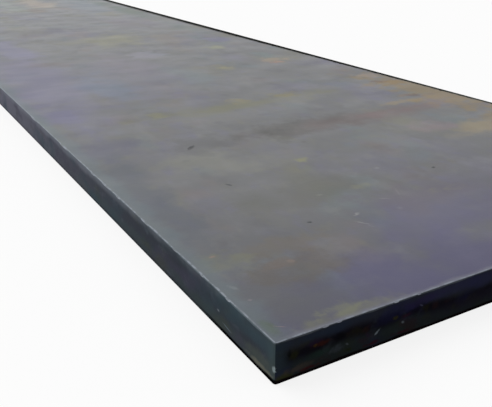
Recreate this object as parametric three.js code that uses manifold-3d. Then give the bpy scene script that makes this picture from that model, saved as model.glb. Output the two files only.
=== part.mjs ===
// Heavy steel plate, hot rolled and flame cut to size, lying flat.
// Millimetres, +Z up. The origin is the centre of the underside; X is the width, Y the length.
// The near end is at -Y and the left long edge at -X.
import * as THREE from "three";
import { mergeVertices } from "three/addons/utils/BufferGeometryUtils.js";
import Module from "manifold-3d";

// Driving dimensions
const PLATE_WIDTH = 1500;
const PLATE_LENGTH = 6000;
const PLATE_THICKNESS = 80;
const TOP_ARRIS_RADIUS = 3; // the flame enters here and melts the edge over
const BOTTOM_ARRIS_RADIUS = 2; // the flame leaves here, and the slag is knocked off
const CORNER_RADIUS = 6; // the upright corners, where the torch turns

// Knocks that slings and other plates left, each a shallow dish out of the edge it marks: `from`
// is its distance from the near left corner, `length` runs along the edge, and `reach` is how far
// it goes into each of the two faces that meet there.
const LEFT_TOP_KNOCKS = [
  { from: 154, length: 26, reach: 3.1 },
  { from: 253, length: 22, reach: 2.5 },
  { from: 374, length: 40, reach: 2.5 },
  { from: 530, length: 75, reach: 2.6 },
  { from: 698, length: 42, reach: 3.2 },
  { from: 784, length: 100, reach: 2.7 },
  { from: 885, length: 46, reach: 3.2 },
  { from: 1150, length: 115, reach: 3.4 },
  { from: 1500, length: 105, reach: 3.4 },
];
const NEAR_TOP_KNOCKS = [
  { from: 98, length: 24, reach: 2.4 },
  { from: 126, length: 20, reach: 2.3 },
  { from: 249, length: 20, reach: 2.5 },
  { from: 302, length: 16, reach: 2.4 },
];
const CORNER_CHIP = { height: 29, length: 12, reach: 6 };

// A dish is part of an oval whose centre lies three reaches outside both faces, so that it leaves
// them at a shallow angle. The oval's radius follows from that, in reaches, and so does the share
// of the oval's length that bites into the edge.
const DISH_OFFSET = 3;
const DISH_RADIUS = Math.hypot(DISH_OFFSET, DISH_OFFSET + 1);
const DISH_BITE = Math.sqrt(1 - 2 * (DISH_OFFSET / DISH_RADIUS) ** 2);

// Facets
const ARRIS_STEPS = 6;
const CORNER_STEPS = 8;
const DISH_SEGMENTS = 64;
const DISH_RINGS = 40;

const wasm = await Module();
wasm.setup();

// The plate seen from above: a rectangle with rounded corners.
function planOutline() {
  const right = PLATE_WIDTH / 2 - CORNER_RADIUS;
  const far = PLATE_LENGTH / 2 - CORNER_RADIUS;
  const outline = new THREE.Shape();
  outline.absarc(right, far, CORNER_RADIUS, 0, Math.PI / 2);
  outline.absarc(-right, far, CORNER_RADIUS, Math.PI / 2, Math.PI);
  outline.absarc(-right, -far, CORNER_RADIUS, Math.PI, (3 * Math.PI) / 2);
  outline.absarc(right, -far, CORNER_RADIUS, (3 * Math.PI) / 2, 2 * Math.PI);
  outline.closePath();
  return outline;
}

// The plan outline drawn upwards from height `bottom` to `top`, both rims rounded over by `arris`.
function roundedSlab(bottom, top, arris) {
  const slab = new THREE.ExtrudeGeometry(planOutline(), {
    depth: top - bottom - 2 * arris,
    curveSegments: CORNER_STEPS,
    bevelThickness: arris,
    bevelSize: arris,
    bevelOffset: -arris,
    bevelSegments: ARRIS_STEPS,
  });
  return toSolid(slab.translate(0, 0, bottom + arris));
}

// An oval of half sizes `size`, centred on `place`.
function oval(place, size) {
  const ball = new THREE.SphereGeometry(1, DISH_SEGMENTS, DISH_RINGS);
  return toSolid(ball.scale(...size).translate(...place));
}

function toSolid(geometry) {
  geometry.deleteAttribute("normal");
  geometry.deleteAttribute("uv");
  const merged = mergeVertices(geometry);
  return new wasm.Manifold(
    new wasm.Mesh({
      numProp: 3,
      vertProperties: merged.attributes.position.array,
      triVerts: new Uint32Array(merged.index.array),
    }),
  );
}

function toGeometry(solid) {
  const mesh = solid.getMesh();
  const geometry = new THREE.BufferGeometry();
  geometry.setAttribute("position", new THREE.BufferAttribute(mesh.vertProperties, 3));
  geometry.setIndex(new THREE.BufferAttribute(mesh.triVerts, 1));
  const faceted = geometry.toNonIndexed();
  faceted.computeVertexNormals();
  return faceted;
}

// The rim radii differ, so the plate is what two slabs share: one runs on below the plate and
// gives it its top rim, the other runs on above it and gives it its bottom rim.
function plateBlank() {
  const upper = roundedSlab(-PLATE_THICKNESS, PLATE_THICKNESS, TOP_ARRIS_RADIUS);
  const lower = roundedSlab(0, 2 * PLATE_THICKNESS, BOTTOM_ARRIS_RADIUS);
  return upper.intersect(lower);
}

function knocks() {
  const left = -PLATE_WIDTH / 2;
  const near = -PLATE_LENGTH / 2;
  const outside = (reach) => reach * DISH_OFFSET;
  const around = (reach) => reach * DISH_RADIUS;
  const lengthwise = (length) => length / 2 / DISH_BITE;
  const alongLeft = LEFT_TOP_KNOCKS.map(({ from, length, reach }) =>
    oval(
      [left - outside(reach), near + from, PLATE_THICKNESS + outside(reach)],
      [around(reach), lengthwise(length), around(reach)],
    ),
  );
  const alongNear = NEAR_TOP_KNOCKS.map(({ from, length, reach }) =>
    oval(
      [left + from, near - outside(reach), PLATE_THICKNESS + outside(reach)],
      [lengthwise(length), around(reach), around(reach)],
    ),
  );
  const { height, length, reach } = CORNER_CHIP;
  const chip = oval(
    [left - outside(reach), near - outside(reach), height],
    [around(reach), around(reach), lengthwise(length)],
  );
  return [...alongLeft, ...alongNear, chip];
}

function steelPlate() {
  const solid = knocks().reduce((plate, knock) => plate.subtract(knock), plateBlank());
  const millScale = new THREE.MeshStandardMaterial({
    color: 0x6a6d74,
    roughness: 0.5,
    metalness: 0.6,
  });
  const mesh = new THREE.Mesh(toGeometry(solid), millScale);
  mesh.name = "steel_plate";
  return mesh;
}

const part = new THREE.Group();
part.name = "heavy_steel_plate";
part.add(steelPlate());

export default part;
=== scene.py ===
"""Dresses the heavy steel plate: flame-cut faces, mill scale, stains, floor and soft light.

Metres, +Z up. The origin is the centre of the underside, the near end is at -Y and the left
long edge at -X. Places on the plate are given from its near left corner, as a marker would
measure them: `across` to the right and `along` away from the near end.
"""
import logging
import math
from collections.abc import Callable, Iterable, Mapping
from dataclasses import dataclass, replace
from enum import Enum
from functools import cached_property

import bmesh
import bpy
from mathutils import Euler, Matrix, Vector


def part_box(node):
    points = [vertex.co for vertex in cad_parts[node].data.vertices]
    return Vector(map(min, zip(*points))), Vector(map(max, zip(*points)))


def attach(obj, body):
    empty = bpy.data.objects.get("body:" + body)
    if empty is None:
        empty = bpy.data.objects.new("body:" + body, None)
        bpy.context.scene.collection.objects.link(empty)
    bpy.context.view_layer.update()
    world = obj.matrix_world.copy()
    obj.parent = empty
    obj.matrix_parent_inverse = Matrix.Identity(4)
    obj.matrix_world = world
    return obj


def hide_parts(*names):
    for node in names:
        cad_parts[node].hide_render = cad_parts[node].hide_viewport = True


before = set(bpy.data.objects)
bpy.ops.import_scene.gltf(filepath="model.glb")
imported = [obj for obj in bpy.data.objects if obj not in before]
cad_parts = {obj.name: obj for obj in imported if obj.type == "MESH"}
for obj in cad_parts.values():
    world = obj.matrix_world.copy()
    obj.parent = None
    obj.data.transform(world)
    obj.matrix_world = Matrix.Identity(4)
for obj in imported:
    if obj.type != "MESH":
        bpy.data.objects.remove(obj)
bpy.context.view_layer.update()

NODE = "steel_plate"
BODY = "root"
CUT_GROUP = "cut_faces"

Socket = bpy.types.NodeSocket
Edge = bmesh.types.BMEdge
Triple = tuple[float, float, float]
Rgba = tuple[float, float, float, float]

# Noise seldom strays more than a fifth from its middle and lies within its range, so the
# swing brings what is left, once the middle is taken away, up to about 1.
NOISE_MIDDLE = 0.5
NOISE_SWING = 5.0
NOISE_RANGE = (0.3, 0.7)
# An oval patch shows fully inside its core and not at all past its rim, in half sizes.
OVAL_CORE = 0.2
OVAL_RIM = 1.1
# How far patches reach into the plate: those on the top, in its gouges and on a cut face.
TOP_PATCH_DEPTH = 0.04
GOUGE_PATCH_DEPTH = 0.01
CUT_PATCH_DEPTH = 0.02
# Lengths and offsets that differ by less than these are taken as the same, in metres.
TIGHT = 1e-6
LOOSE = 1e-4

log = logging.getLogger("steel_plate")


class Rim(Enum):
    """The two top rims that knocks are measured along, from the near left corner."""

    LEFT = "left"
    NEAR = "near"


class Way(Enum):
    """Which way a cut face runs, valued by its axis."""

    ACROSS = "X"
    ALONG = "Y"


class Finish(Enum):
    """The plate's finishes, each valued by its material slot."""

    MILL_SCALE = 0
    # the end faces: the cut finish darkened with painted shade
    SHADED_CUT_END = 1
    CUT_EDGE = 2
    # the strip of painted shade along the right rim
    SHADED_RIGHT_RIM = 3


@dataclass(frozen=True)
class Grain:
    """Noise of `scale` features per metre on each axis, with finer octaves over it."""

    scale: Triple
    octaves: float = 4.0
    rough: float = 0.6
    shift: Triple = (0.0, 0.0, 0.0)


@dataclass(frozen=True)
class Tint:
    """Clouds of one colour, where noise of `scale` features per metre passes `start`."""

    name: str
    colour: str
    scale: Triple
    start: float
    full: float
    strength: float
    shift: Triple = (0.0, 0.0, 0.0)


@dataclass(frozen=True)
class Patch:
    """A patch of other colour, measured from the plate's near left corner.

    On the top, `wide` runs across the plate and `tall` along it. On a cut face, `wide` runs
    along the face, `tall` up it, and `second` is the height of the patch's middle.
    """

    name: str
    first: float
    second: float
    wide: float
    tall: float
    colour: str
    strength: float
    ragged: float = 0.5
    grain: float = 14.0
    turn: float = 0.0


@dataclass(frozen=True)
class Strip:
    """A strip of other colour beside an edge: full up to `full` metres in, gone at `gone`.

    Its border wanders by about `wander` metres, with the noise or, below 0, against it.
    """

    name: str
    colour: str
    full: float
    gone: float
    strength: float = 1.0
    wander: float = 0.0


@dataclass(frozen=True)
class Knock:
    """A blow on a top rim: its place along the rim, its length, and its reach into each face."""

    rim: Rim
    at: float
    length: float
    reach: float


@dataclass(frozen=True)
class Gouge:
    """A dent in the top face, from the near left corner, turned by `turn` degrees."""

    across: float
    along: float
    length: float
    breadth: float
    depth: float
    turn: float


@dataclass(frozen=True)
class Relief:
    """A fine unevenness of a cut face: noise of `grain` metres, `depth` metres deep."""

    name: str
    grain: Triple
    depth: float
    octaves: int = 2


def paint(hex_colour: str) -> Rgba:
    """Turns a display colour into the linear colour that a shader takes.

    Args:
        hex_colour: six hexadecimal digits, red first.

    Returns:
        Linear red, green and blue, and a full alpha.
    """
    channels = [int(hex_colour[i : i + 2], 16) / 255 for i in (0, 2, 4)]
    linear = [c / 12.92 if c <= 0.04045 else ((c + 0.055) / 1.055) ** 2.4 for c in channels]
    return (linear[0], linear[1], linear[2], 1.0)


class NodeSheet:
    """A node tree that is being filled, with a short method for each kind of node it needs."""

    def __init__(self, owner: bpy.types.Material | bpy.types.World) -> None:
        """Empties a node tree, ready to be filled.

        Args:
            owner: the new material or sky that it belongs to.
        """
        owner.use_nodes = True
        self.owner = owner
        self.tree = owner.node_tree
        self.tree.nodes.clear()
        self.wobbles: dict[float, Socket] = {}

    def add(
        self, kind: str, feeds: Mapping[int | str, object] | None = None, **settings: object
    ) -> bpy.types.Node:
        """Adds a node.

        Args:
            kind: Blender's own name of the node's type.
            feeds: a socket to link or a value to set for each input, by its name or number.
            settings: the node's own properties.

        Returns:
            The node.
        """
        node = self.tree.nodes.new(kind)
        for key, value in settings.items():
            setattr(node, key, value)
        for key, value in (feeds or {}).items():
            if isinstance(value, Socket):
                self.tree.links.new(value, node.inputs[key])
            else:
                node.inputs[key].default_value = value
        return node

    @cached_property
    def place(self) -> Socket:
        """Object coordinates, in metres."""
        return self.add("ShaderNodeTexCoord").outputs["Object"]

    def axis(self, name: str) -> Socket:
        """The object coordinate called X, Y or Z, in metres."""
        return self.add("ShaderNodeSeparateXYZ", {0: self.place}).outputs[name]

    def start(self, name: str, total: float) -> Socket:
        """How far a place is from the low end of a side `total` long on the axis `name`."""
        return self.math("ADD", self.axis(name), total / 2)

    def inset(self, name: str, total: float) -> Socket:
        """How far a place is from the nearer end of a side `total` long on the axis `name`."""
        return self.math("SUBTRACT", total / 2, self.math("ABSOLUTE", self.axis(name)))

    def math(self, operation: str, *values: object) -> Socket:
        """The Math node's `operation` on sockets or numbers."""
        return self.add("ShaderNodeMath", dict(enumerate(values)), operation=operation).outputs[0]

    def vector(self, operation: str, *values: object) -> Socket:
        """The Vector Math node's `operation` on sockets or triples."""
        node = self.add("ShaderNodeVectorMath", dict(enumerate(values)), operation=operation)
        return node.outputs["Value" if operation == "LENGTH" else "Vector"]

    def noise(self, grain: Grain) -> Socket:
        """Cloudy noise about its middle.

        Args:
            grain: how fine and how rough it is.

        Returns:
            The noise value.
        """
        moved = self.vector("SUBTRACT", self.place, grain.shift)
        feeds = {
            "Vector": self.vector("MULTIPLY", moved, grain.scale),
            "Scale": 1.0,
            "Detail": grain.octaves,
            "Roughness": grain.rough,
        }
        return self.add("ShaderNodeTexNoise", feeds, noise_dimensions="3D").outputs["Fac"]

    def wobble(self, scale: float) -> Socket:
        """Noise about 0, made once and shared by all that ask for it.

        Args:
            scale: features per metre.

        Returns:
            The noise value.
        """
        if scale not in self.wobbles:
            noise = self.noise(Grain((scale, scale, scale)))
            self.wobbles[scale] = self.math("SUBTRACT", noise, NOISE_MIDDLE)
        return self.wobbles[scale]

    def fade(self, value: Socket, start: float, end: float, low: float = 0, high: float = 1) -> Socket:
        """A smooth step from `low` at `start` to `high` at `end`.

        Args:
            value: the socket that runs from `start` to `end`.
            start: the value where the step starts.
            end: the value where it ends.
            low: the result before the step.
            high: the result after it.

        Returns:
            The stepped value.
        """
        names = ("Value", "From Min", "From Max", "To Min", "To Max")
        feeds = dict(zip(names, (value, start, end, low, high)))
        node = self.add("ShaderNodeMapRange", feeds, interpolation_type="SMOOTHSTEP")
        return node.outputs["Result"]

    def blend(self, factor: Socket, under: Socket | Rgba, over: Rgba, label: str = "") -> Socket:
        """Lays the colour `over` on `under` by `factor`, and labels the node."""
        feeds = {0: factor, 6: under, 7: over}
        return self.add("ShaderNodeMix", feeds, data_type="RGBA", label=label).outputs[2]

    def lay(self, mark: Tint | Patch | Strip, amount: Socket, colour: Socket) -> Socket:
        """Lays a mark on the colour so far, by `amount`."""
        return self.blend(amount, colour, paint(mark.colour), mark.name)

    def tinted(self, colour: Socket, tints: Iterable[Tint]) -> Socket:
        """Lays each tint's clouds on the colour so far.

        Args:
            colour: the colour so far.
            tints: the tints, from the lowest up.

        Returns:
            The clouded colour.
        """
        for tint in tints:
            clouds = self.noise(Grain(tint.scale, rough=0.55, shift=tint.shift))
            colour = self.lay(tint, self.fade(clouds, tint.start, tint.full, 0, tint.strength), colour)
        return colour

    def strip(self, strip: Strip, inset: Socket, wobble: Socket) -> Socket:
        """How strongly a strip shows at `inset` from its edge, where its border follows `wobble`."""
        inset = self.math("MULTIPLY_ADD", wobble, NOISE_SWING * strip.wander, inset)
        return self.fade(inset, strip.gone, strip.full, 0, strip.strength)

    def oval(self, patch: Patch, centre: Triple, half: Triple, about: str = "Z") -> Socket:
        """How strongly a patch shows, as a soft oval with a ragged rim.

        Args:
            patch: the rim's raggedness and grain, and the oval's turn and strength.
            centre: its middle, in metres.
            half: half its size on each axis before its turn, in metres.
            about: the axis that it turns about.

        Returns:
            The patch's strength in the middle, falling smoothly to 0 at the rim.
        """
        moved = self.vector("SUBTRACT", self.place, centre)
        feeds = {"Vector": moved, "Angle": -math.radians(patch.turn)}
        turned = self.add("ShaderNodeVectorRotate", feeds, rotation_type=f"{about}_AXIS")
        reach = self.vector("LENGTH", self.vector("DIVIDE", turned.outputs[0], half))
        wobble = self.wobble(patch.grain)
        reach = self.math("MULTIPLY_ADD", wobble, NOISE_SWING * patch.ragged, reach)
        return self.fade(reach, OVAL_RIM, OVAL_CORE, 0, patch.strength)

    def bump(self, height: Socket, distance: float) -> Socket:
        """A normal bumped by `height`, where a height of 1 stands `distance` metres up."""
        return self.add("ShaderNodeBump", {"Height": height, "Distance": distance}).outputs["Normal"]

    def seen(self) -> Socket:
        """1 for the rays of the camera and of reflections, and 0 for those that light things."""
        rays = self.add("ShaderNodeLightPath").outputs
        return self.math("MAXIMUM", rays["Is Camera Ray"], rays["Is Glossy Ray"])

    def close(
        self, colour: Socket, roughness: Socket | float, normal: Socket, specular: float
    ) -> bpy.types.Material:
        """Joins the channels to a shader and the shader to the output.

        Args:
            colour: base colour.
            roughness: surface roughness.
            normal: bumped normal.
            specular: specular level, the same all over.

        Returns:
            The finished material.
        """
        feeds = {
            "Base Color": colour,
            "Roughness": roughness,
            "Normal": normal,
            "Specular IOR Level": specular,
        }
        shader = self.add("ShaderNodeBsdfPrincipled", feeds)
        self.add("ShaderNodeOutputMaterial", {"Surface": shader.outputs["BSDF"]})
        return self.owner


TOP_TINTS = (
    Tint("violet_clouds", "69687C", (2.6, 2.2, 1.0), 0.50, 0.68, 0.55, (0.3, 0.0, 0.0)),
    Tint("olive_clouds", "73725F", (3.1, 2.4, 1.0), 0.52, 0.70, 0.50, (7.0, 3.0, 0.0)),
    Tint("brown_blush", "786A69", (4.5, 3.4, 1.0), 0.55, 0.72, 0.38, (1.0, 9.0, 0.0)),
    Tint("teal_clouds", "62757A", (5.0, 3.0, 1.0), 0.55, 0.72, 0.35, (4.0, 6.0, 0.0)),
    Tint("soot_mottle", "4C4C51", (11.0, 7.0, 1.0), 0.50, 0.70, 0.24, (2.0, 2.0, 0.0)),
    Tint("pale_mottle", "8B8C91", (9.0, 6.0, 1.0), 0.52, 0.72, 0.20, (5.0, 1.0, 0.0)),
    Tint("fine_olive", "7A7A62", (26.0, 15.0, 1.0), 0.54, 0.70, 0.17, (3.0, 4.0, 0.0)),
    Tint("fine_violet", "66648A", (23.0, 13.0, 1.0), 0.54, 0.70, 0.17, (8.0, 5.0, 0.0)),
)
TOP_PATCHES = (
    # the indigo temper of the near end, and the warm blotches in it
    Patch("near_end_indigo", 0.42, 0.02, 1.15, 0.40, "514F6C", 0.80, 0.40, 8),
    Patch("near_left_shade", 0.10, 0.10, 0.34, 0.30, "55565C", 0.70, 0.40, 9),
    Patch("near_right_violet", 0.62, 0.22, 0.60, 0.30, "5E5C77", 0.62, 0.40, 6),
    Patch("near_brown_blotch", 0.165, 0.190, 0.26, 0.13, "57524C", 0.66, 0.55, 16),
    Patch("olive_left_of_blotch", 0.060, 0.270, 0.12, 0.10, "797B5C", 0.38, 0.60, 30),
    Patch("brown_right_of_blotch", 0.235, 0.180, 0.15, 0.09, "625E5A", 0.55, 0.60, 24),
    Patch("mauve_past_blotch", 0.270, 0.215, 0.14, 0.09, "605B5A", 0.36, 0.55, 24),
    Patch("rust_in_blotch", 0.148, 0.222, 0.10, 0.050, "67594E", 0.48, 0.50, 30),
    Patch("olive_past_blotch", 0.200, 0.285, 0.28, 0.10, "6A5F48", 0.32, 0.55, 24),
    Patch("indigo_before_blotch", 0.139, 0.118, 0.14, 0.07, "4D4C60", 0.36, 0.50, 24),
    Patch("peach_spot", 0.175, 0.217, 0.020, 0.015, "907C72", 0.28, 0.55, 60),
    Patch("olive_corner", 0.018, 0.044, 0.030, 0.056, "4A523C", 0.85, 0.40, 40),
    Patch("moss_by_near_edge", 0.150, 0.032, 0.090, 0.050, "7E8162", 0.36, 0.65, 30),
    Patch("pale_moss_by_near_edge", 0.170, 0.014, 0.28, 0.034, "77795F", 0.40, 0.50, 30),
    Patch("olive_shade", 0.46, 0.485, 0.56, 0.24, "5D5E59", 0.62, 0.55, 8),
    Patch("violet_haze", 0.640, 0.34, 0.34, 0.20, "635E6A", 0.60, 0.60, 14),
    Patch("violet_spot", 0.465, 0.414, 0.080, 0.050, "615B66", 0.48, 0.50, 40),
    Patch("pale_blob", 0.394, 0.377, 0.060, 0.050, "7D7E7B", 0.26, 0.70, 30),
    Patch("olive_stroke", 0.550, 0.462, 0.110, 0.030, "7F7F68", 0.34, 0.70, 34),
    Patch("olive_stroke_right", 0.715, 0.345, 0.140, 0.040, "7D7C68", 0.34, 0.75, 30),
    Patch("brown_shade_right", 0.80, 0.470, 0.28, 0.12, "605C5A", 0.45, 0.55, 14),
    Patch("violet_shade_right", 0.84, 0.350, 0.48, 0.26, "58565F", 0.32, 0.50, 9),
    # bands that rain left across the width, and the rust in them
    Patch("brown_band", 0.98, 0.960, 1.10, 0.150, "6A6160", 0.65, 0.45, 9),
    Patch("brown_band_left", 0.72, 0.985, 0.54, 0.18, "535250", 0.58, 0.55, 12),
    Patch("maroon_in_band", 0.84, 0.960, 0.42, 0.14, "5E5354", 0.52, 0.55, 14),
    Patch("plum_in_band", 1.16, 0.965, 0.50, 0.100, "725F61", 0.50, 0.60, 14),
    Patch("mauve_by_edge", 1.405, 1.035, 0.190, 0.140, "6E605D", 0.56, 0.60, 16),
    Patch("soot_in_band", 0.64, 0.950, 0.240, 0.200, "494947", 0.58, 0.50, 16),
    Patch("ochre_line", 1.24, 1.056, 0.36, 0.050, "8C7E5E", 0.55, 0.70, 22),
    Patch("plum_spot", 1.31, 1.120, 0.080, 0.050, "6B5C66", 0.60, 0.60, 24),
    Patch("rust_right_edge", 1.45, 1.10, 0.36, 1.05, "84724C", 0.60, 0.65, 14),
    Patch("rust_bloom_right", 1.41, 1.320, 0.16, 0.13, "7D663A", 0.72, 0.65, 24),
    Patch("rust_knot", 1.375, 1.350, 0.080, 0.070, "614F42", 0.70, 0.65, 30),
    Patch("rust_knot_near", 1.335, 1.110, 0.060, 0.050, "61524A", 0.62, 0.65, 34),
    Patch("peach_past_knot", 1.41, 1.47, 0.130, 0.120, "95877B", 0.55, 0.65, 20),
    Patch("rust_front_right", 1.25, 0.675, 0.38, 0.19, "988968", 0.55, 0.32, 12),
    Patch("pink_front_right", 1.09, 0.76, 0.20, 0.12, "84747A", 0.45, 0.60, 14),
    Patch("olive_band", 0.74, 1.31, 0.95, 0.15, "73735A", 0.60, 0.50, 9),
    Patch("ochre_left", 0.37, 1.32, 0.070, 0.110, "83825E", 0.42, 0.60, 24),
    Patch("ochre_middle", 0.71, 1.36, 0.110, 0.090, "878054", 0.45, 0.60, 24),
    Patch("ochre_right", 0.90, 1.36, 0.170, 0.090, "7E784F", 0.55, 0.60, 20),
    Patch("yellow_spot", 0.535, 0.698, 0.060, 0.044, "8A8B60", 0.52, 0.60, 40),
    Patch("olive_left_of_band", 0.32, 0.82, 0.30, 0.26, "7B7C70", 0.45, 0.55, 10),
    Patch("shade_by_gouge", 0.345, 0.960, 0.26, 0.24, "5A5B5D", 0.54, 0.55, 16),
    Patch("shade_by_left_edge", 0.06, 0.68, 0.16, 0.95, "535963", 0.60, 0.50, 10),
    # the cool and warm clouds of the scale further up
    Patch("orange_spot", 1.25, 1.98, 0.170, 0.130, "928270", 0.56, 0.70, 18),
    Patch("red_core", 1.24, 1.92, 0.080, 0.070, "987464", 0.62, 0.60, 30),
    Patch("ochre_spot", 0.96, 1.94, 0.110, 0.140, "8E8C6C", 0.60, 0.60, 18),
    Patch("teal_patch", 1.28, 2.12, 0.160, 0.160, "6B7C7C", 0.45, 0.60, 12),
    Patch("lavender_left", 0.16, 2.05, 0.44, 1.50, "76748E", 0.60, 0.40, 3),
    Patch("lavender_core", 0.09, 1.48, 0.18, 0.46, "6B6A8A", 0.52, 0.50, 10),
    Patch("lavender_middle", 0.52, 1.95, 0.80, 1.10, "73728A", 0.26, 0.40, 5),
    Patch("lavender_spot", 0.47, 1.58, 0.22, 0.18, "70708E", 0.32, 0.50, 14),
    Patch("blue_left", 0.36, 1.85, 0.26, 0.60, "6C788C", 0.50, 0.50, 6),
    Patch("mauve_middle", 0.62, 2.20, 0.36, 0.60, "84808A", 0.50, 0.50, 5),
    Patch("pale_mauve_spot", 0.78, 2.40, 0.24, 0.28, "9B98A9", 0.36, 0.50, 14),
    Patch("lavender_far", 0.23, 2.95, 0.20, 0.90, "7E7D98", 0.55, 0.45, 6),
    Patch("brown_far", 0.68, 3.22, 0.20, 0.34, "827A76", 0.45, 0.60, 9),
    Patch("slate_middle", 0.76, 1.85, 0.24, 0.50, "6E7A80", 0.50, 0.50, 6),
    Patch("lavender_near_left", 0.09, 1.06, 0.26, 0.36, "5B5C6D", 0.74, 0.50, 8),
    Patch("green_right", 1.18, 2.42, 0.150, 0.130, "8E9176", 0.60, 0.50, 14),
    Patch("indigo_right", 1.30, 2.64, 0.170, 0.220, "706F8E", 0.50, 0.60, 12),
    Patch("teal_right", 1.36, 3.20, 0.16, 0.70, "687472", 0.46, 0.60, 9),
    Patch("olive_cloud", 0.84, 2.90, 0.42, 0.55, "8C8B70", 0.52, 0.55, 6),
    Patch("olive_cloud_right", 1.08, 2.85, 0.36, 0.60, "8B8476", 0.46, 0.50, 6),
    Patch("mauve_far", 1.14, 3.60, 0.42, 0.90, "827F87", 0.45, 0.45, 5),
    Patch("dark_cloud", 0.60, 3.45, 0.34, 0.26, "646470", 0.72, 0.60, 9),
    Patch("dark_cloud_left", 0.48, 3.46, 0.22, 0.26, "757574", 0.60, 0.45, 9),
    Patch("dark_cloud_far", 0.76, 4.52, 0.18, 0.34, "7C726C", 0.65, 0.45, 9),
    Patch("warm_strip_far", 0.88, 5.10, 0.34, 1.20, "A89C90", 0.62, 0.75, 5),
    Patch("green_strip_far", 0.68, 5.05, 0.26, 1.20, "8A948D", 0.50, 0.75, 5),
    Patch("cool_strip_far", 1.22, 4.60, 0.34, 1.60, "7C858F", 0.60, 0.70, 5),
    Patch("pale_left_far", 0.42, 4.90, 0.30, 1.30, "9EA1A1", 0.46, 0.75, 5),
    Patch("green_edge_far", 1.36, 4.30, 0.22, 1.50, "68746E", 0.70, 0.40, 5),
    # strokes and scuffs
    Patch("chalk_stroke", 0.409, 0.287, 0.052, 0.0060, "9E9E9C", 0.46, 0.45, 70, -58),
    Patch("chalk_foot", 0.416, 0.262, 0.022, 0.0050, "94949A", 0.28, 0.45, 70, -62),
    Patch("chalk_dot", 0.428, 0.330, 0.020, 0.011, "9C9C9A", 0.50, 0.55, 90, 30),
    Patch("pink_arc", 0.600, 0.388, 0.070, 0.0060, "8A8489", 0.20, 0.50, 60, 62),
    Patch("pink_arc_foot", 0.548, 0.367, 0.042, 0.0070, "8E878B", 0.30, 0.50, 60, -38),
    Patch("pale_stroke", 0.425, 0.465, 0.030, 0.010, "8E8E8A", 0.35, 0.50, 60, -25),
    Patch("scratch_corner", 0.031, 0.038, 0.034, 0.0016, "A89088", 0.42, 0.45, 60, -36),
    Patch("scuff_left", 0.028, 0.182, 0.030, 0.012, "868A8C", 0.40, 0.55, 60, -60),
    Patch("pink_speck", 0.033, 0.132, 0.010, 0.009, "94828A", 0.38, 0.50, 90),
    Patch("red_speck", 0.051, 0.309, 0.018, 0.010, "93786E", 0.60, 0.50, 80),
    Patch("pale_speck", 0.670, 0.544, 0.026, 0.013, "8E8E92", 0.40, 0.55, 60),
    Patch("pale_speck_right", 0.536, 0.308, 0.018, 0.020, "8C8D92", 0.20, 0.55, 60),
)


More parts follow.
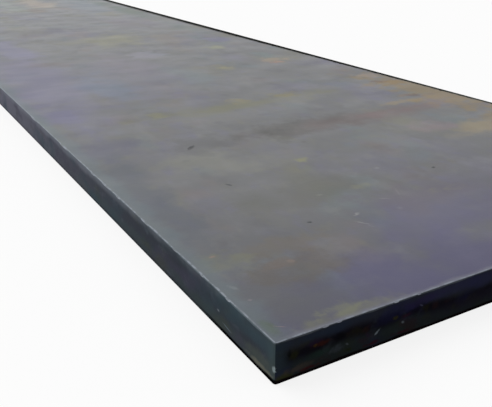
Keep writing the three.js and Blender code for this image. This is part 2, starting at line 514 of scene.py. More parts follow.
@dataclass(frozen=True)
class MillScale:
    """The rolled faces: blue-grey oxide, clouded, banded by rain and speckled with rust.

    The near colour gives way to the middle one by `near_until`, and that one to the far colour
    from `far_from` to `far_full`, all measured along the plate. The worn rims carry a painted
    highlight, showing `wear_and_highlight_strength` of it at the two ends of
    `wear_and_highlight_noise`.
    """

    near: str = "5C5D62"
    middle: str = "6B6C6E"
    # the lighter far colour is partly a painted sheen of grazing reflection
    far: str = "828487"
    near_until: float = 0.7
    far_from: float = 0.6
    far_full: float = 5.6
    tints: tuple[Tint, ...] = TOP_TINTS
    patches: tuple[Patch, ...] = TOP_PATCHES
    smear: Patch = Patch("gouge", 0.0, 0.0, 0.0, 0.0, "3C3C3E", 0.85, 0.40, 120)
    smear_spread: float = 1.2
    teal: Strip = Strip("teal_by_left_edge", "617076", 0.015, 0.050, 0.45, 0.016)
    # painted highlight along the near rim, faded out towards the sides
    pale: Strip = Strip("painted_highlight_near_edge", "7A7C85", 0.002, 0.014, 0.55, 0.004)
    near_highlight_from_side: float = 0.06
    # worn rims with a painted highlight along the top arrises
    worn: Strip = Strip("worn_rims_painted_highlight", "888F9A", 0.002, 0.005, 1.0, 0.0016)
    wear_and_highlight_noise: tuple[float, float] = (-0.10, 0.08)
    wear_and_highlight_strength: tuple[float, float] = (0.20, 0.85)
    # painted shade fading out just inside the right rim's strip, which also makes the scale matt there
    right_rim_shade: Strip = Strip("painted_shade_past_right_rim", "0A0A09", 0.90, 1.60, 0.90, 0.004)
    broad_wobble: float = 12.0
    fine_wobble: float = 60.0
    grain: Grain = Grain((150.0, 150.0, 150.0), 6.0, 0.65)
    waves: Grain = Grain((9.0, 14.0, 1.0), 3.0, 0.5)
    wave_share: float = 1.5
    relief: float = 0.0006
    gloss: Grain = Grain((4.0, 7.0, 2.0), rough=0.5)
    roughness: tuple[float, float] = (0.50, 0.64)
    specular: float = 0.30

    def material(self, plate: "SteelPlate") -> bpy.types.Material:
        """Makes the mill-scale material.

        Args:
            plate: the plate that it lies on.

        Returns:
            The material.
        """
        sheet = NodeSheet(bpy.data.materials.new("mill_scale"))
        waves = sheet.noise(self.waves)
        relief = sheet.math("MULTIPLY_ADD", waves, self.wave_share, sheet.noise(self.grain))
        gloss = sheet.fade(sheet.noise(self.gloss), *NOISE_RANGE, *self.roughness)
        return sheet.close(
            colour=self._colour(sheet, plate),
            roughness=sheet.math("MAXIMUM", gloss, self._rim_shade(sheet, plate)),
            normal=sheet.bump(relief, self.relief),
            specular=self.specular,
        )

    def _colour(self, sheet: NodeSheet, plate: "SteelPlate") -> Socket:
        """Builds the scale's colour: clouds, patches, gouges and what lies beside the edges.

        Args:
            sheet: the node tree to build in.
            plate: the plate whose corner the patches are measured from.

        Returns:
            The colour socket.
        """
        along = sheet.start("Y", plate.length)
        nearer = sheet.fade(along, 0.0, self.near_until)
        colour = sheet.blend(nearer, paint(self.near), paint(self.middle))
        # lighter towards the far end: partly a painted sheen of grazing reflection
        further = sheet.fade(along, self.far_from, self.far_full)
        colour = sheet.blend(further, colour, paint(self.far))
        colour = sheet.tinted(colour, self.tints)
        smears = [self._smear(gouge) for gouge in plate.gouges]
        for patches, depth in ((self.patches, TOP_PATCH_DEPTH), (smears, GOUGE_PATCH_DEPTH)):
            for patch in patches:
                centre = (*plate.marked(patch.first, patch.second), plate.thickness)
                amount = sheet.oval(patch, centre, (patch.wide / 2, patch.tall / 2, depth))
                colour = sheet.lay(patch, amount, colour)
        colour = self._edges(sheet, plate, colour)
        # painted shade past the right rim's strip
        return sheet.lay(self.right_rim_shade, self._rim_shade(sheet, plate), colour)

    def _smear(self, gouge: Gouge) -> Patch:
        """The dark patch in and round a gouge."""
        size = {"wide": self.smear_spread * gouge.length, "tall": self.smear_spread * gouge.breadth}
        return replace(self.smear, first=gouge.across, second=gouge.along, turn=gouge.turn, **size)

    def _edges(self, sheet: NodeSheet, plate: "SteelPlate", colour: Socket) -> Socket:
        """Lays the teal by the left edge, the painted highlight by the near edge and the worn rims'
        painted highlight.

        Args:
            sheet: the node tree to build in.
            plate: the plate whose edges they are.
            colour: the colour so far.

        Returns:
            The colour with them.
        """
        wobble = sheet.wobble(self.broad_wobble)
        side, end = sheet.inset("X", plate.width), sheet.inset("Y", plate.length)
        teal = sheet.strip(self.teal, sheet.start("X", plate.width), wobble)
        colour = sheet.lay(self.teal, teal, colour)
        # painted highlight beside the near rim
        from_side = sheet.fade(side, 0.0, self.near_highlight_from_side, 0, self.pale.strength)
        pale = sheet.math("MINIMUM", sheet.strip(self.pale, end, wobble), from_side)
        colour = sheet.lay(self.pale, pale, colour)
        # patchy painted highlight on the worn rims
        wear_and_highlight = sheet.fade(sheet.wobble(self.fine_wobble), *self.wear_and_highlight_noise, *self.wear_and_highlight_strength)
        worn = sheet.strip(self.worn, sheet.math("MINIMUM", side, end), wobble)
        return sheet.lay(self.worn, sheet.math("MULTIPLY", worn, wear_and_highlight), colour)

    def _rim_shade(self, sheet: NodeSheet, plate: "SteelPlate") -> Socket:
        """How strongly the painted shade lies past the right rim's strip, measured in shares of its
        width.

        Args:
            sheet: the node tree to build in.
            plate: the plate whose right rim has the painted shade.

        Returns:
            The painted shade's strength.
        """
        along = sheet.start("Y", plate.length)
        reach = sheet.math("MULTIPLY_ADD", along, plate.rim_shade_spread, plate.rim_shade_start)
        reach = sheet.math("MINIMUM", reach, plate.border)
        inset = sheet.math("SUBTRACT", plate.width / 2, sheet.axis("X"))
        wobble = sheet.math("DIVIDE", sheet.wobble(self.fine_wobble), reach)
        return sheet.strip(self.right_rim_shade, sheet.math("DIVIDE", inset, reach), wobble)


@dataclass(frozen=True)
class ShadedRightRim:
    """The narrow strip of painted shade along the right rim, a dark sheet that is quite matt."""

    near: str = "30302E"
    far: str = "1A1A18"
    near_until: float = 0.9
    far_full: float = 1.9
    worn: str = "3A3A37"
    wear: Grain = Grain((20.0, 7.0, 20.0))
    wear_noise: tuple[float, float] = (0.45, 0.75)
    crumbs: float = 90.0
    relief: float = 0.0006
    roughness: float = 0.9

    def material(self, plate: "SteelPlate") -> bpy.types.Material:
        """Makes the soot material.

        Args:
            plate: the plate that it lies on.

        Returns:
            The material.
        """
        sheet = NodeSheet(bpy.data.materials.new("painted_shade_right_rim"))
        further = sheet.fade(sheet.start("Y", plate.length), self.near_until, self.far_full)
        colour = sheet.blend(further, paint(self.near), paint(self.far))
        worn = sheet.fade(sheet.noise(self.wear), *self.wear_noise)
        return sheet.close(
            colour=sheet.blend(worn, colour, paint(self.worn)),
            roughness=self.roughness,
            normal=sheet.bump(sheet.wobble(self.crumbs), self.relief),
            specular=0.0,
        )


@dataclass(frozen=True)
class CutFace:
    """A flame-cut face: bands by height with wavy borders, and marks on them.

    Its lighter upper and lower bands are a painted sheen and painted bounce light.

    Each border is the height where one band ends and the next starts. Over `dip_run` past
    `dip_at`, along the face, the borders sink by `dip`. `far_shaded_foot` is how strongly the
    painted shade along the foot shows past `shaded_foot_fades`.
    """

    name: str
    way: Way
    lower: str
    middle: str
    upper: str
    far: str
    lower_border: float
    upper_border: float
    # painted highlight just under the top rim
    corner: Strip
    # painted shade along the foot of the face
    shaded_foot: Strip
    rim: Strip
    tints: tuple[Tint, ...]
    patches: tuple[Patch, ...]
    wave: float
    border_grain: Grain = Grain((14.0, 14.0, 5.0))
    border_blur: float = 0.010
    dip: float = 0.0
    dip_at: float = 0.30
    dip_run: float = 0.12
    far_from: float = 0.2
    far_full: float = 2.4
    shaded_foot_fades: tuple[float, float] = (0.15, 0.30)
    far_shaded_foot: float = 1.0
    # painted shade of the right rim, carried down over the rim onto the face below it
    spill: Strip = Strip("rim_shade_spilt_down", "24241F", 0.002, 0.016, 0.9, -0.0016)
    drag: Grain = Grain((300.0, 300.0, 12.0), 2.0, 0.5)
    drag_share: float = 0.5
    pits: Grain = Grain((130.0, 130.0, 130.0))
    relief: float = 0.0004
    roughness: tuple[float, float] = (0.55, 0.72)

    def material(self, plate: "SteelPlate") -> bpy.types.Material:
        """Makes this cut face's material.

        Args:
            plate: the plate whose face it is.

        Returns:
            The material.
        """
        sheet = NodeSheet(bpy.data.materials.new(self.name))
        pits = sheet.noise(self.pits)
        relief = sheet.math("MULTIPLY_ADD", sheet.noise(self.drag), self.drag_share, pits)
        return sheet.close(
            colour=self._colour(sheet, plate),
            roughness=sheet.fade(pits, *NOISE_RANGE, *self.roughness),
            normal=sheet.bump(relief, self.relief),
            specular=0.0,
        )

    def _colour(self, sheet: NodeSheet, plate: "SteelPlate") -> Socket:
        """Builds the bands up the face, their wavy borders, and the marks on them.

        Args:
            sheet: the node tree to build in.
            plate: the plate whose corner the marks are measured from.

        Returns:
            The colour socket.
        """
        along = sheet.start(self.way.value, plate.width if self.way is Way.ACROSS else plate.length)
        wobble = sheet.math("SUBTRACT", sheet.noise(self.border_grain), NOISE_MIDDLE)
        height = sheet.math("MULTIPLY_ADD", wobble, NOISE_SWING * self.wave, sheet.axis("Z"))
        sink = sheet.fade(along, self.dip_at, self.dip_at + self.dip_run, 0, self.dip)
        height = sheet.math("ADD", height, sink)
        colour = paint(self.lower)
        # the lighter upper band is a painted sheen and the lighter lower band painted bounce light
        for border, band in ((self.lower_border, self.middle), (self.upper_border, self.upper)):
            above = sheet.fade(height, border - self.border_blur, border + self.border_blur)
            colour = sheet.blend(above, colour, paint(band))
        colour = sheet.lay(self.corner, sheet.strip(self.corner, along, wobble), colour)
        # lighter further along the face: partly a painted sheen of grazing reflection
        colour = sheet.blend(sheet.fade(along, self.far_from, self.far_full), colour, paint(self.far))
        colour = sheet.tinted(colour, self.tints)
        for patch in self.patches:
            colour = sheet.lay(patch, self._shape(sheet, plate, patch), colour)
        # painted highlight on the face just under the top rim
        below_rim = sheet.math("SUBTRACT", plate.thickness, sheet.axis("Z"))
        colour = sheet.lay(self.rim, sheet.strip(self.rim, below_rim, wobble), colour)
        # the right rim's painted shade, carried down under the rim, stronger towards the right
        spill = sheet.strip(self.spill, below_rim, wobble)
        to_right = sheet.fade(sheet.axis("X"), 0, plate.width / 2)
        colour = sheet.lay(self.spill, sheet.math("MULTIPLY", spill, to_right), colour)
        # painted shade along the foot, fainter past its fade
        shaded_foot = sheet.strip(self.shaded_foot, sheet.axis("Z"), wobble)
        faint = sheet.fade(along, *self.shaded_foot_fades, 1.0, self.far_shaded_foot)
        return sheet.lay(self.shaded_foot, sheet.math("MULTIPLY", shaded_foot, faint), colour)

    def _shape(self, sheet: NodeSheet, plate: "SteelPlate", patch: Patch) -> Socket:
        """How strongly a mark shows on this face.

        Args:
            sheet: the node tree to build in.
            plate: the plate whose corner the mark is measured from.
            patch: the mark.

        Returns:
            The mark's strength.
        """
        wide, tall = patch.wide / 2, patch.tall / 2
        if self.way is Way.ACROSS:
            place, half, about = plate.marked(patch.first, 0.0), (wide, CUT_PATCH_DEPTH, tall), "Y"
        else:
            place, half, about = plate.marked(0.0, patch.first), (CUT_PATCH_DEPTH, wide, tall), "X"
        return sheet.oval(patch, (*place, patch.second), half, about)


# tints and marks of the end face, darkened with its painted shade
END_TINTS = (
    Tint("olive_scale", "1F2014", (16.0, 16.0, 22.0), 0.54, 0.70, 0.50, (3.0, 0.0, 0.0)),
    Tint("rust_scale", "231416", (18.0, 18.0, 26.0), 0.56, 0.72, 0.45, (0.0, 5.0, 0.0)),
    Tint("indigo_scale", "171834", (7.0, 7.0, 12.0), 0.48, 0.68, 0.55, (0.0, 2.0, 0.0)),
    Tint("pale_scale", "282C31", (30.0, 30.0, 36.0), 0.54, 0.72, 0.35, (6.0, 0.0, 0.0)),
)
END_PATCHES = (
    Patch("violet_top_right", 0.46, 0.066, 0.46, 0.036, "22233A", 0.60, 0.40, 14),
    Patch("violet_middle", 0.32, 0.064, 0.12, 0.024, "201A34", 0.50, 0.40, 40),
    Patch("blue_top_left", 0.10, 0.070, 0.22, 0.024, "1A222F", 0.60, 0.40, 14),
    Patch("grey_low_right", 0.46, 0.024, 0.36, 0.044, "181620", 0.60, 0.35, 20),
    Patch("plum_left", 0.075, 0.056, 0.050, 0.016, "1C1222", 0.60, 0.45, 60),
    Patch("rust_patch", 0.092, 0.049, 0.048, 0.013, "2A130E", 0.70, 0.50, 60),
    Patch("rust_core", 0.078, 0.050, 0.010, 0.007, "34280F", 0.55, 0.40, 90),
    Patch("black_blob", 0.128, 0.050, 0.040, 0.024, "08090C", 0.60, 0.45, 60),
    Patch("black_mark_left", 0.028, 0.050, 0.010, 0.020, "08090A", 0.70, 0.35, 90),
    Patch("olive_left", 0.038, 0.045, 0.020, 0.024, "1A1B0D", 0.55, 0.50, 60),
    Patch("olive_middle", 0.168, 0.046, 0.044, 0.024, "1A1910", 0.50, 0.50, 60),
    Patch("brown_middle", 0.183, 0.046, 0.026, 0.018, "1D1212", 0.50, 0.55, 60),
    Patch("ochre_spot", 0.250, 0.046, 0.020, 0.012, "2A280C", 0.65, 0.45, 60),
    Patch("crimson_right_of_ochre", 0.275, 0.044, 0.032, 0.010, "26101A", 0.50, 0.50, 60),
    Patch("indigo_spot", 0.285, 0.056, 0.050, 0.018, "1D1B33", 0.55, 0.50, 50),
    Patch("olive_right", 0.322, 0.046, 0.024, 0.024, "1C1B11", 0.50, 0.50, 60),
    Patch("brown_right", 0.345, 0.044, 0.022, 0.024, "201516", 0.50, 0.50, 60),
    Patch("olive_foot", 0.016, 0.009, 0.050, 0.022, "2A2C14", 0.80, 0.40, 60),
    Patch("crimson_foot", 0.065, 0.011, 0.048, 0.010, "2E0C10", 0.75, 0.50, 60),
    Patch("crimson_foot_middle", 0.200, 0.012, 0.040, 0.009, "2B0C10", 0.65, 0.50, 60),
    Patch("crimson_foot_right", 0.262, 0.012, 0.050, 0.008, "2A0A16", 0.65, 0.50, 60),
    Patch("magenta_spot", 0.190, 0.029, 0.024, 0.016, "241026", 0.50, 0.55, 60),
    Patch("green_low_left", 0.085, 0.032, 0.050, 0.018, "182622", 0.55, 0.40, 60),
    Patch("warm_low_left", 0.045, 0.018, 0.080, 0.016, "342E2A", 0.65, 0.40, 60),
    Patch("olive_low", 0.150, 0.016, 0.020, 0.010, "1A1E0C", 0.60, 0.45, 60),
    Patch("worn_patch", 0.122, 0.028, 0.034, 0.020, "30343A", 0.50, 0.55, 70),
    Patch("arc_mark", 0.145, 0.029, 0.012, 0.005, "3C4146", 0.65, 0.30, 90, 35),
    Patch("scratch", 0.210, 0.031, 0.018, 0.0060, "5A6268", 0.85, 0.35, 120, -38),
    Patch("bright_chip", 0.268, 0.032, 0.011, 0.007, "4E5459", 0.80, 0.30, 90, 30),
    Patch("small_arc", 0.310, 0.054, 0.014, 0.005, "3A3A4C", 0.65, 0.30, 90, 35),
)
EDGE_TINTS = (
    Tint("teal_scale", "374951", (6.0, 6.0, 10.0), 0.50, 0.70, 0.50, (1.0, 0.0, 0.0)),
    Tint("plum_scale", "423F4D", (7.0, 7.0, 14.0), 0.50, 0.68, 0.50, (4.0, 0.0, 0.0)),
    Tint("olive_scale", "43473D", (8.0, 8.0, 16.0), 0.54, 0.72, 0.40, (7.0, 2.0, 0.0)),
    Tint("pale_scale", "576069", (20.0, 20.0, 30.0), 0.54, 0.72, 0.25, (2.0, 5.0, 0.0)),
)
EDGE_PATCHES = (
    Patch("teal_by_corner", 0.06, 0.058, 0.16, 0.050, "37474F", 0.60, 0.40, 14),
    Patch("pale_by_corner", 0.04, 0.024, 0.120, 0.036, "444A48", 0.85, 0.40, 30),
    Patch("plum_patch", 0.36, 0.040, 0.30, 0.050, "434251", 0.50, 0.40, 12),
    # painted sheen: a lighter band along the face just under the top rim
    Patch("painted_sheen_under_rim", 1.20, 0.076, 2.20, 0.036, "8C909A", 0.30, 0.20, 12),
    Patch("bright_speck", 0.189, 0.039, 0.012, 0.006, "828990", 0.60, 0.30, 90),
    Patch("scrape", 0.157, 0.020, 0.044, 0.0035, "677480", 0.60, 0.25, 60, 8),
    Patch("olive_run", 0.045, 0.012, 0.110, 0.014, "63645A", 0.80, 0.40, 60),
    Patch("corner_chip", 0.002, 0.029, 0.014, 0.016, "8A979A", 0.95, 0.15, 90),
)

# The end faces' near-black colours are painted shade over the cut finish of the long edges.
SHADED_END_FACE = CutFace(
    name="cut_end_painted_shade",
    way=Way.ACROSS,
    lower="1B2021",
    middle="0E0D12",
    upper="1E2028",
    far="171828",
    lower_border=0.036,
    upper_border=0.060,
    corner=Strip("corner", "1F262C", 0.008, 0.034),
    # painted shade along the foot
    shaded_foot=Strip("shaded_foot", "0B0708", 0.0054, 0.0090, 1.0, 0.0016),
    # painted highlight just under the top rim
    rim=Strip("rim", "4A4F54", 0.0015, 0.0040, 0.6, -0.0016),
    tints=END_TINTS,
    patches=END_PATCHES,
    wave=0.0032,
    dip=0.014,
    far_from=0.4,
    far_full=1.4,
)
EDGE_FACE = CutFace(
    name="cut_long_edge",
    way=Way.ALONG,
    lower="394144",
    middle="353940",
    upper="394046",
    # partly a painted sheen of grazing reflection further along
    far="6A6A76",
    lower_border=0.030,
    upper_border=0.062,
    corner=Strip("corner", "3C4648", 0.008, 0.034),
    # painted shade along the foot
    shaded_foot=Strip("shaded_foot", "060606", 0.0063, 0.0105, 1.0, 0.0016),
    # painted highlight just under the top rim
    rim=Strip("rim", "68747A", 0.0015, 0.0040, 0.6, -0.0016),
    tints=EDGE_TINTS,
    patches=EDGE_PATCHES,
    wave=0.0048,
    far_shaded_foot=0.3,
)


KNOCKS = (
    Knock(Rim.LEFT, 0.154, 0.026, 0.0031),
    Knock(Rim.LEFT, 0.253, 0.022, 0.0025),
    Knock(Rim.LEFT, 0.374, 0.040, 0.0025),
    Knock(Rim.LEFT, 0.530, 0.075, 0.0026),
    Knock(Rim.LEFT, 0.698, 0.042, 0.0032),
    Knock(Rim.LEFT, 0.784, 0.100, 0.0027),
    Knock(Rim.LEFT, 0.885, 0.046, 0.0032),
    Knock(Rim.LEFT, 1.150, 0.115, 0.0034),
    Knock(Rim.LEFT, 1.500, 0.105, 0.0034),
    Knock(Rim.NEAR, 0.098, 0.024, 0.0024),
    Knock(Rim.NEAR, 0.126, 0.020, 0.0023),
    Knock(Rim.NEAR, 0.249, 0.020, 0.0025),
    Knock(Rim.NEAR, 0.302, 0.016, 0.0024),
)
GOUGES = (
    Gouge(0.318, 0.950, 0.044, 0.016, 0.0018, 42),
    Gouge(0.268, 0.634, 0.021, 0.007, 0.0014, -62),
    Gouge(0.311, 0.347, 0.012, 0.007, 0.0012, -30),
    Gouge(0.803, 0.472, 0.013, 0.008, 0.0012, 10),
)
# A knock is part of an oval whose centre lies three reaches outside both faces, so that it leaves
# them at a shallow angle. The oval's radius follows from that, in reaches, and so does the share
# of the oval's length that bites into the edge.
DISH_OFFSET = 3.0
DISH_RADIUS = math.hypot(DISH_OFFSET, DISH_OFFSET + 1)
DISH_BITE = math.sqrt(1 - 2 * (DISH_OFFSET / DISH_RADIUS) ** 2)
DISH_SEGMENTS = 48
DISH_RINGS = 32
CUT_RELIEF = (
    Relief("torch_wander", (0.14, 0.14, 0.05), 0.0006),
    Relief("drag_lines", (0.011, 0.011, 0.11), 0.00015),
)
# How much of a face's normal may point up on a standing face, at least points up on a lying one,
# and points up where an arris passes from the cut face's finish to the top's.
STANDING = 0.1
LYING = 0.9
TURNS_UP = 0.58


@dataclass
class SteelPlate:
    """The plate: one rolled and flame-cut piece, built over its CAD node.

    The overall sizes come from the node's box; the rest repeat the node's own rounding. The top
    has a narrow `border` with finer cells, and the painted shade on its right side starts
    `rim_shade_start` wide, widens by `rim_shade_spread` for each metre and sways by `rim_shade_sway`.
    """

    width: float
    length: float
    thickness: float
    top_arris: float = 0.003
    bottom_arris: float = 0.002
    corner_radius: float = 0.006
    arris_steps: int = 4
    corner_steps: int = 6
    smooth_angle: float = 35.0
    chip_height: float = 0.029
    chip_length: float = 0.012
    chip_reach: float = 0.006
    border: float = 0.045
    cell: float = 0.050
    shortest_cell: float = 0.036
    cuts_in_border: int = 6
    cuts_per_cell: int = 11
    cuts_up_wall: int = 9
    rim_shade_start: float = 0.005
    rim_shade_spread: float = 0.012
    rim_shade_sway: float = 0.0025
    rim_shade_waves: Triple = (19.0, 47.0, 131.0)
    relief_margin: float = 0.001
    relief_middle: float = 0.7
    gouges: tuple[Gouge, ...] = GOUGES

    @classmethod
    def from_frame(cls) -> "SteelPlate":
        """Takes the overall sizes from the CAD node's box."""
        low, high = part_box(NODE)
        return cls(width=high[0] - low[0], length=high[1] - low[1], thickness=high[2] - low[2])

    def marked(self, across: float, along: float) -> tuple[float, float]:
        """X and Y of a place measured from the near left corner."""
        return (across - self.width / 2, along - self.length / 2)

    def build(self) -> bpy.types.Object:
        """Models the plate, dresses it and hangs it on the frame.

        Returns:
            The finished plate.
        """
        plate = self._block()
        self._mark_out(plate)
        self._divide(plate)
        self._roughen(plate)
        self._knock(plate)
        self._dress(plate)
        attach(plate, BODY)
        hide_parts(NODE)
        return plate

    def _block(self) -> bpy.types.Object:
        """Draws the plate as a block with rounded corners and rims.

        Returns:
            The block.
        """
        bpy.ops.mesh.primitive_cube_add(size=1, location=(0, 0, self.thickness / 2))
        plate = bpy.context.object
        plate.name = "heavy_plate"
        plate.scale = (self.width, self.length, self.thickness)
        bpy.ops.object.transform_apply(location=True, rotation=False, scale=True)
        bpy.ops.object.mode_set(mode="EDIT")
        for wanted, radius, steps in (
            (self._stands, self.corner_radius, self.corner_steps),
            (lambda edge: self._is_rim(edge, 1), self.top_arris, self.arris_steps),
            (lambda edge: self._is_rim(edge, -1), self.bottom_arris, self.arris_steps),
        ):
            self._pick(plate, wanted)
            bpy.ops.mesh.bevel(offset=radius, segments=steps, affect="EDGES")
        bpy.ops.object.mode_set(mode="OBJECT")
        return plate

    def _mark_out(self, plate: bpy.types.Object) -> None:
        """Cuts the block into cells across and along, with a narrow border round the faces.

        Args:
            plate: the block.
        """
        bpy.ops.object.mode_set(mode="EDIT")
        bpy.ops.mesh.select_mode(type="FACE")
        for side, axis in ((self.width, (1, 0, 0)), (self.length, (0, 1, 0))):
            for place in self._cell_lines(side):
                bpy.ops.mesh.select_all(action="SELECT")
                bpy.ops.mesh.bisect(plane_co=[place * part for part in axis], plane_no=axis)
        bpy.ops.object.mode_set(mode="OBJECT")

    def _cell_lines(self, side: float) -> list[float]:
        """Works out where the cell lines lie.

        Args:
            side: length of the side that they cross.

        Returns:
            Their distances from its middle.
        """
        half = side / 2 - self.border
        count = round(2 * half / self.cell)
        return [half * (2 * i / count - 1) for i in range(count + 1)]

    def _divide(self, plate: bpy.types.Object) -> None:
        """Divides the cut faces for their relief, and the top's border for the wavy line of the right
        rim's painted shade.

        Args:
            plate: the block in its cells.
        """
        bpy.ops.object.mode_set(mode="EDIT")
        for wanted, cuts in (
            (self._runs_along_rim, self.cuts_per_cell),
            (self._stands, self.cuts_up_wall),
            (self._crosses_border, self.cuts_in_border),
        ):
            self._pick(plate, wanted)
            bpy.ops.mesh.subdivide(number_cuts=cuts)
        bpy.ops.object.mode_set(mode="OBJECT")

    @staticmethod
    def _pick(plate: bpy.types.Object, wanted: Callable[[Edge], bool]) -> None:
        """Selects the wanted edges of the mesh in edit mode, and nothing else.

        Args:
            plate: the mesh object in edit mode.
            wanted: tells whether an edge is to be selected.
        """
        bpy.ops.mesh.select_mode(type="EDGE")
        bpy.ops.mesh.select_all(action="DESELECT")
        shape = bmesh.from_edit_mesh(plate.data)
        for edge in shape.edges:
            if wanted(edge):
                edge.select_set(True)
        shape.select_flush_mode()
        bmesh.update_edit_mesh(plate.data, loop_triangles=False, destructive=False)

    def _stands(self, edge: Edge) -> bool:
        """Whether an edge stands upright on a cut face or at a corner."""
        one, other = (vert.co for vert in edge.verts)
        return abs(one.z - other.z) > self.thickness / 2

    @staticmethod
    def _is_rim(edge: Edge, up: int) -> bool:
        """Whether an edge joins a standing face to the face that looks up, or down for -1."""
        lean = sorted(face.normal.z * up for face in edge.link_faces)
        return abs(lean[0]) < STANDING and lean[-1] > LYING

    def _runs_along_rim(self, edge: Edge) -> bool:
        """Tells whether a cell's edge runs along the rim.

        Args:
            edge: an edge of the marked-out block.

        Returns:
            Whether it does so on a cut face, on an arris or on the top's border.
        """
        one, other = (vert.co for vert in edge.verts)
        run = other - one
        straight = min(abs(run.x), abs(run.y)) < TIGHT and abs(run.z) < TIGHT
        if not straight or run.length < self.shortest_cell:
            return False
        middle = (one + other) / 2
        along_x = abs(run.x) > abs(run.y)
        gap = self.length / 2 - abs(middle.y) if along_x else self.width / 2 - abs(middle.x)
        reach = self.border if middle.z > self.thickness / 2 else self.bottom_arris
        return gap < reach + LOOSE

    def _crosses_border(self, edge: Edge) -> bool:
        """Tells whether an edge crosses the narrow border of the top that the right rim's painted
        shade lies on.

        Args:
            edge: an edge of the marked-out block.

        Returns:
            Whether it runs from the right arris to the border's inner line.
        """
        one, other = (vert.co for vert in edge.verts)
        on_top = min(one.z, other.z) > self.thickness - TIGHT
        crosses = abs(abs(other.x - one.x) - (self.border - self.top_arris)) < LOOSE
        return on_top and crosses and self.width / 2 - (one.x + other.x) / 2 < self.border

    def _roughen(self, plate: bpy.types.Object) -> None:
        """Lets the torch's wander and its drag lines eat into the cut faces.

        Args:
            plate: the plate with its cut faces divided.
        """
        group = plate.vertex_groups.new(name=CUT_GROUP)
        low = self.bottom_arris + self.relief_margin
        high = self.thickness - self.top_arris - self.relief_margin
        group.add([v.index for v in plate.data.vertices if low < v.co.z < high], 1.0, "REPLACE")
        for relief in CUT_RELIEF:
            self._displace(plate, relief)
        plate.vertex_groups.clear()

    def _displace(self, plate: bpy.types.Object, relief: Relief) -> None:
        """Moves the cut faces' vertices, mostly inwards, by noise that an empty's scale stretches.

        Args:
            plate: the mesh object.
            relief: the noise and its depth.
        """
        bpy.ops.object.empty_add(location=(0, 0, 0))
        guide = bpy.context.object
        guide.scale = relief.grain
        texture = bpy.data.textures.new(relief.name, "CLOUDS")
        texture.noise_scale = 1.0
        texture.noise_depth = relief.octaves
        bpy.context.view_layer.objects.active = plate
        modifier = plate.modifiers.new(relief.name, "DISPLACE")
        modifier.texture = texture
        modifier.texture_coords = "OBJECT"
        modifier.texture_coords_object = guide
        modifier.strength = relief.depth
        modifier.mid_level = self.relief_middle
        modifier.vertex_group = CUT_GROUP
        bpy.context.view_layer.update()
        bpy.ops.object.modifier_apply(modifier=modifier.name)
        bpy.data.objects.remove(guide)
        bpy.data.textures.remove(texture)

    def _knock(self, plate: bpy.types.Object) -> None:
        """Cuts the knocks, the gouges and the corner chip out of the plate.

        Args:
            plate: the plate with its relief.
        """
        ovals = [self._knock_oval(knock) for knock in KNOCKS]
        ovals += [self._gouge_oval(gouge) for gouge in self.gouges]
        ovals.append(self._chip_oval())
        bpy.ops.object.select_all(action="DESELECT")
        for oval in ovals:
            oval.select_set(True)
        bpy.ops.object.join()
        cutter = bpy.context.object
        bpy.ops.object.select_all(action="DESELECT")
        bpy.context.view_layer.objects.active = plate
        modifier = plate.modifiers.new("knocks", "BOOLEAN")
        modifier.operation = "DIFFERENCE"
        modifier.solver = "EXACT"
        modifier.object = cutter
        bpy.ops.object.modifier_apply(modifier=modifier.name)
        bpy.data.objects.remove(cutter)

    def _knock_oval(self, knock: Knock) -> bpy.types.Object:
        """Draws the oval that a knock takes out of its rim.

        Args:
            knock: the knock.

        Returns:
            The oval.
        """
        half, around = knock.length / 2 / DISH_BITE, knock.reach * DISH_RADIUS
        outside = knock.reach * DISH_OFFSET
        if knock.rim is Rim.LEFT:
            place, size = self.marked(-outside, knock.at), (around, half, around)
        else:
            place, size = self.marked(knock.at, -outside), (half, around, around)
        return self._oval((*place, self.thickness + outside), size)

    def _gouge_oval(self, gouge: Gouge) -> bpy.types.Object:
        """The oval that a gouge takes out of the top face."""
        place = (*self.marked(gouge.across, gouge.along), self.thickness)
        return self._oval(place, (gouge.length / 2, gouge.breadth / 2, gouge.depth), gouge.turn)

    def _chip_oval(self) -> bpy.types.Object:
        """Draws the oval that the chip takes out of the near left corner.

        Returns:
            The oval.
        """
        outside, around = self.chip_reach * DISH_OFFSET, self.chip_reach * DISH_RADIUS
        place = (*self.marked(-outside, -outside), self.chip_height)
        return self._oval(place, (around, around, self.chip_length / 2 / DISH_BITE))

    @staticmethod
    def _oval(place: Triple, half: Triple, turn: float = 0.0) -> bpy.types.Object:
        """Draws an oval.

        Args:
            place: its middle.
            half: half its size on each axis.
            turn: degrees that it is turned about Z.

        Returns:
            The oval.
        """
        bpy.ops.mesh.primitive_uv_sphere_add(
            segments=DISH_SEGMENTS, ring_count=DISH_RINGS, radius=1, location=place
        )
        oval = bpy.context.object
        oval.scale = half
        oval.rotation_euler = Euler((0, 0, math.radians(turn)))
        return oval

    def _dress(self, plate: bpy.types.Object) -> None:
        """Gives each face of the plate its finish.

        Args:
            plate: the finished shape.
        """
        bpy.ops.object.select_all(action="DESELECT")
        plate.select_set(True)
        bpy.ops.object.shade_smooth_by_angle(angle=math.radians(self.smooth_angle))
        looks = {
            Finish.MILL_SCALE: MillScale(),
            Finish.SHADED_CUT_END: SHADED_END_FACE,
            Finish.CUT_EDGE: EDGE_FACE,
            Finish.SHADED_RIGHT_RIM: ShadedRightRim(),
        }
        plate.data.materials.clear()
        for finish in Finish:
            plate.data.materials.append(looks[finish].material(self))
        for face in plate.data.polygons:
            face.material_index = self._finish_of(face).value

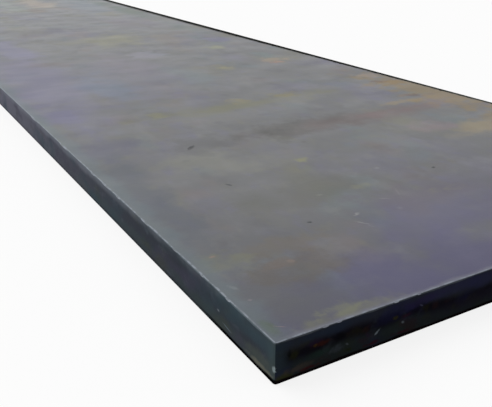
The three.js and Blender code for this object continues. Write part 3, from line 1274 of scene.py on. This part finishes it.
    def _finish_of(self, face: bpy.types.MeshPolygon) -> Finish:
        """Chooses a face's finish by the way that it looks and by whether the chip took it.

        Args:
            face: a face of the finished shape.

        Returns:
            The finish.
        """
        normal, place = face.normal, face.center
        chip = (*self.marked(0.0, 0.0), self.chip_height)
        apart = [abs(place[i] - chip[i]) for i in range(3)]
        if max(apart) < self.chip_length / 2:
            return Finish.CUT_EDGE if apart[0] < self.chip_reach / 2 else Finish.SHADED_CUT_END
        if abs(normal.z) > TURNS_UP:
            # the top's strip of painted shade along the right rim
            in_rim_shade = normal.z > 0 and self.width / 2 - place.x < self._rim_shade_reach(place.y)
            return Finish.SHADED_RIGHT_RIM if in_rim_shade else Finish.MILL_SCALE
        return Finish.SHADED_CUT_END if abs(normal.y) > abs(normal.x) else Finish.CUT_EDGE

    def _rim_shade_reach(self, y: float) -> float:
        """Works out how far the painted shade reaches in from the right rim.

        Args:
            y: the place along the plate, from its middle.

        Returns:
            The reach, which sways and widens up the plate.
        """
        along = y + self.length / 2
        sway = self.rim_shade_sway * sum(math.sin(wave * along) for wave in self.rim_shade_waves)
        widest = self.border - len(self.rim_shade_waves) * self.rim_shade_sway
        return min(widest, self.rim_shade_start + self.rim_shade_spread * along) + sway


@dataclass
class Studio:
    """The pale floor, the soft sky and the one large lamp."""

    floor_size: float = 80.0
    floor_colour: str = "F8F8F8"
    floor_glow: float = 0.82
    sky_light: float = 0.60
    sun_light: float = 1.35
    sun_softness: float = 50.0
    sun_place: Triple = (-2.0, 2.0, 4.0)
    sun_turn: Triple = (-38.0, -22.0, 0.0)

    def build(self) -> None:
        """Lays the floor and sets the lights."""
        self._lay_floor()
        self._light_sky()
        self._hang_sun()

    def _lay_floor(self) -> None:
        """A white floor that keeps the shadow of what stands on it."""
        bpy.ops.mesh.primitive_plane_add(size=self.floor_size)
        floor = bpy.context.object
        floor.name = "studio_floor"
        sheet = NodeSheet(bpy.data.materials.new("white_floor"))
        matt = sheet.add("ShaderNodeBsdfDiffuse", {"Color": paint(self.floor_colour)})
        glow = sheet.add("ShaderNodeEmission")
        share = sheet.math("MULTIPLY", sheet.seen(), self.floor_glow)
        mix = sheet.add("ShaderNodeMixShader", {0: share, 1: matt.outputs[0], 2: glow.outputs[0]})
        sheet.add("ShaderNodeOutputMaterial", {"Surface": mix.outputs[0]})
        floor.data.materials.append(sheet.owner)

    def _light_sky(self) -> None:
        """An even sky that the camera and gloss see as plain white."""
        sheet = NodeSheet(bpy.data.worlds.new("studio_sky"))
        bpy.context.scene.world = sheet.owner
        strength = sheet.fade(sheet.seen(), 0, 1, self.sky_light, 1.0)
        sky = sheet.add("ShaderNodeBackground", {"Color": (1, 1, 1, 1), "Strength": strength})
        sheet.add("ShaderNodeOutputWorld", {"Surface": sky.outputs[0]})

    def _hang_sun(self) -> None:
        """One large soft lamp, high behind the plate and to its left."""
        bpy.ops.object.light_add(type="SUN", location=self.sun_place)
        sun = bpy.context.object
        sun.name = "softbox"
        sun.data.energy = self.sun_light
        sun.data.angle = math.radians(self.sun_softness)
        sun.rotation_euler = Euler([math.radians(turn) for turn in self.sun_turn])


@dataclass(frozen=True)
class Viewpoint:
    """The camera: knee high by the near left corner, looking down along the plate."""

    place: Triple = (-1.2272, -3.7281, 0.6808)
    down: float = 22.76
    right: float = 30.26
    lens: float = 48.78

    def build(self) -> None:
        """Sets up the scene's camera."""
        bpy.ops.object.camera_add(location=self.place)
        camera = bpy.context.object
        camera.rotation_euler = Euler((math.radians(90 - self.down), 0, -math.radians(self.right)))
        camera.data.lens = self.lens
        bpy.context.scene.camera = camera


def main() -> None:
    """Builds the plate and its studio."""
    logging.basicConfig(level=logging.INFO, format="%(name)s: %(message)s")
    bpy.context.scene.view_settings.view_transform = "Standard"
    bpy.ops.object.select_all(action="DESELECT")
    Viewpoint().build()
    Studio().build()
    plate = SteelPlate.from_frame().build()
    log.info("%s has %d faces", plate.name, len(plate.data.polygons))


if __name__ == "__main__":
    main()
